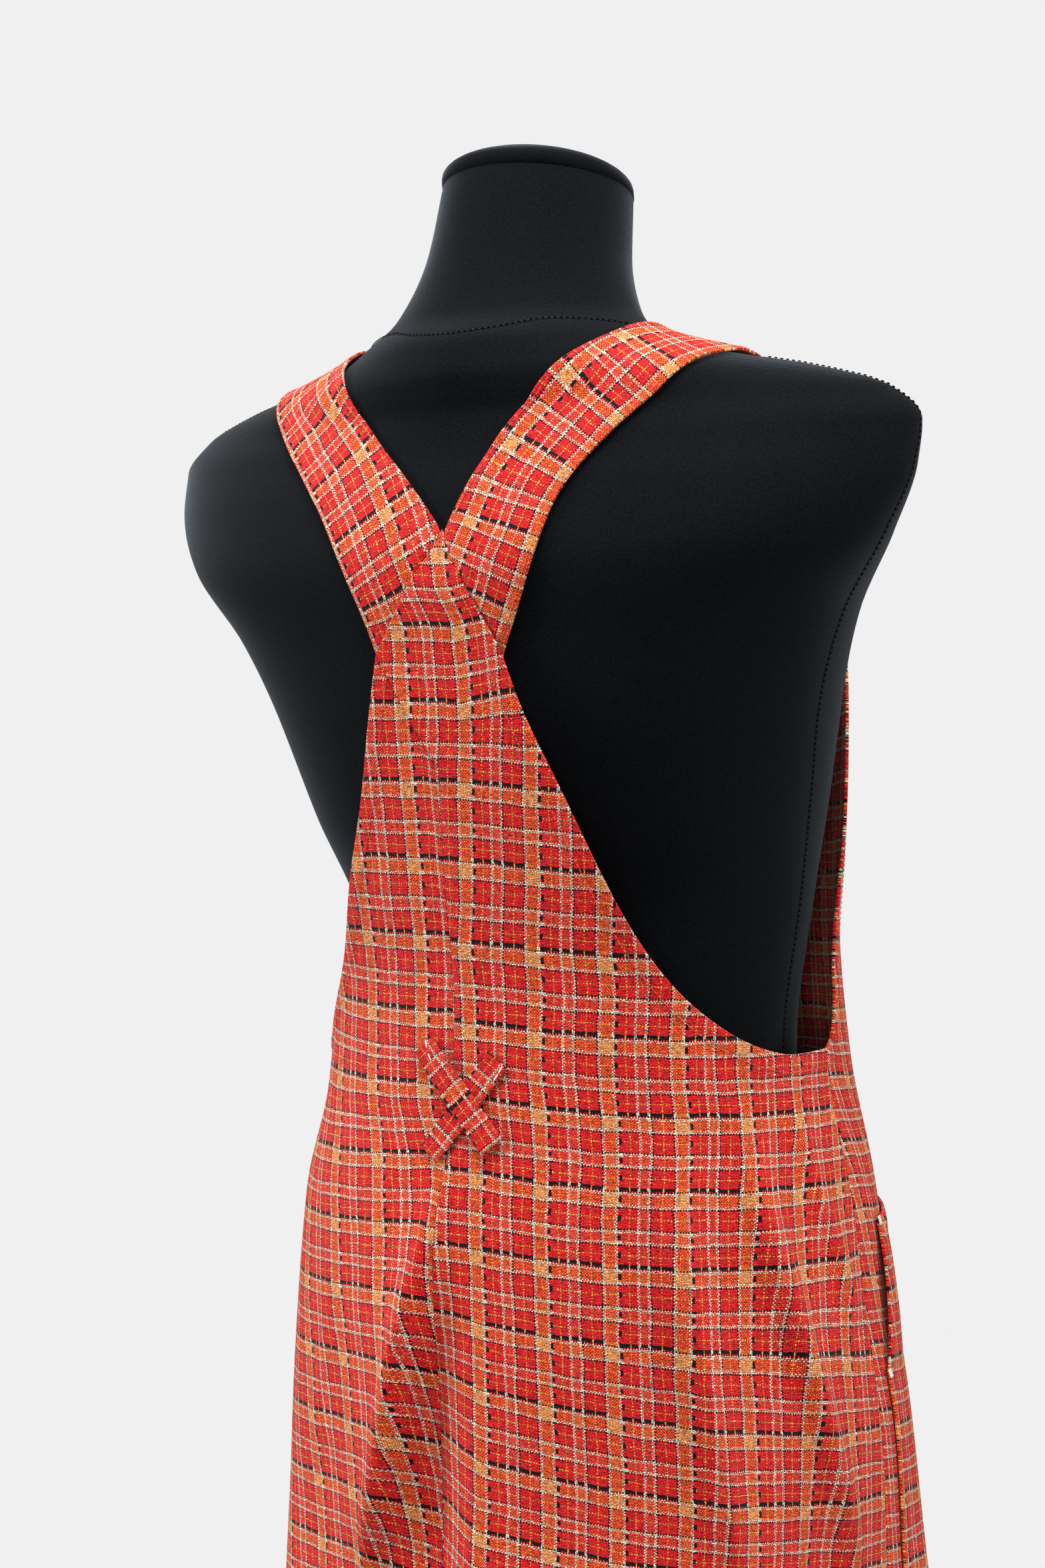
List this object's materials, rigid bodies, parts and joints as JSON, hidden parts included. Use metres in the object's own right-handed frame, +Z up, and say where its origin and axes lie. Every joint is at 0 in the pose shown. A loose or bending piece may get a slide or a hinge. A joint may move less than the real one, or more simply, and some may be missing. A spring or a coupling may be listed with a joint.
{
  "type": "checked pinafore dress on a limbless dress form",
  "caption": "Sleeveless checked pinafore dress with bib, crossed-tab back and hip pockets, worn by a limbless dress form on a pole with a round base.",
  "frame": {"origin": "centre of the stand base's underside, on the floor", "axes": "+Z up along the pole, -Y out of the dress's front, -X to the wearer's right"},
  "size_m": [0.4652, 0.3863, 1.5301],
  "materials": {
    "checked_cotton": "matt woven cotton in a red, orange, cream and black check",
    "form_jersey": "matt black jersey with a soft sheen",
    "stand_metal": "satin dark paint"
  },
  "bodies": {
    "root": {"front": "checked_cotton", "back_right": "checked_cotton", "back_left": "checked_cotton", "strap_right": "checked_cotton", "strap_left": "checked_cotton", "tab_strip_over": "checked_cotton", "tab_strip_under": "checked_cotton", "pocket_right": "checked_cotton", "pocket_left": "checked_cotton", "form_torso": "form_jersey", "form_neck_cap": "form_jersey", "stand_pole": "stand_metal", "stand_base": "stand_metal"}
  },
  "joints": []
}
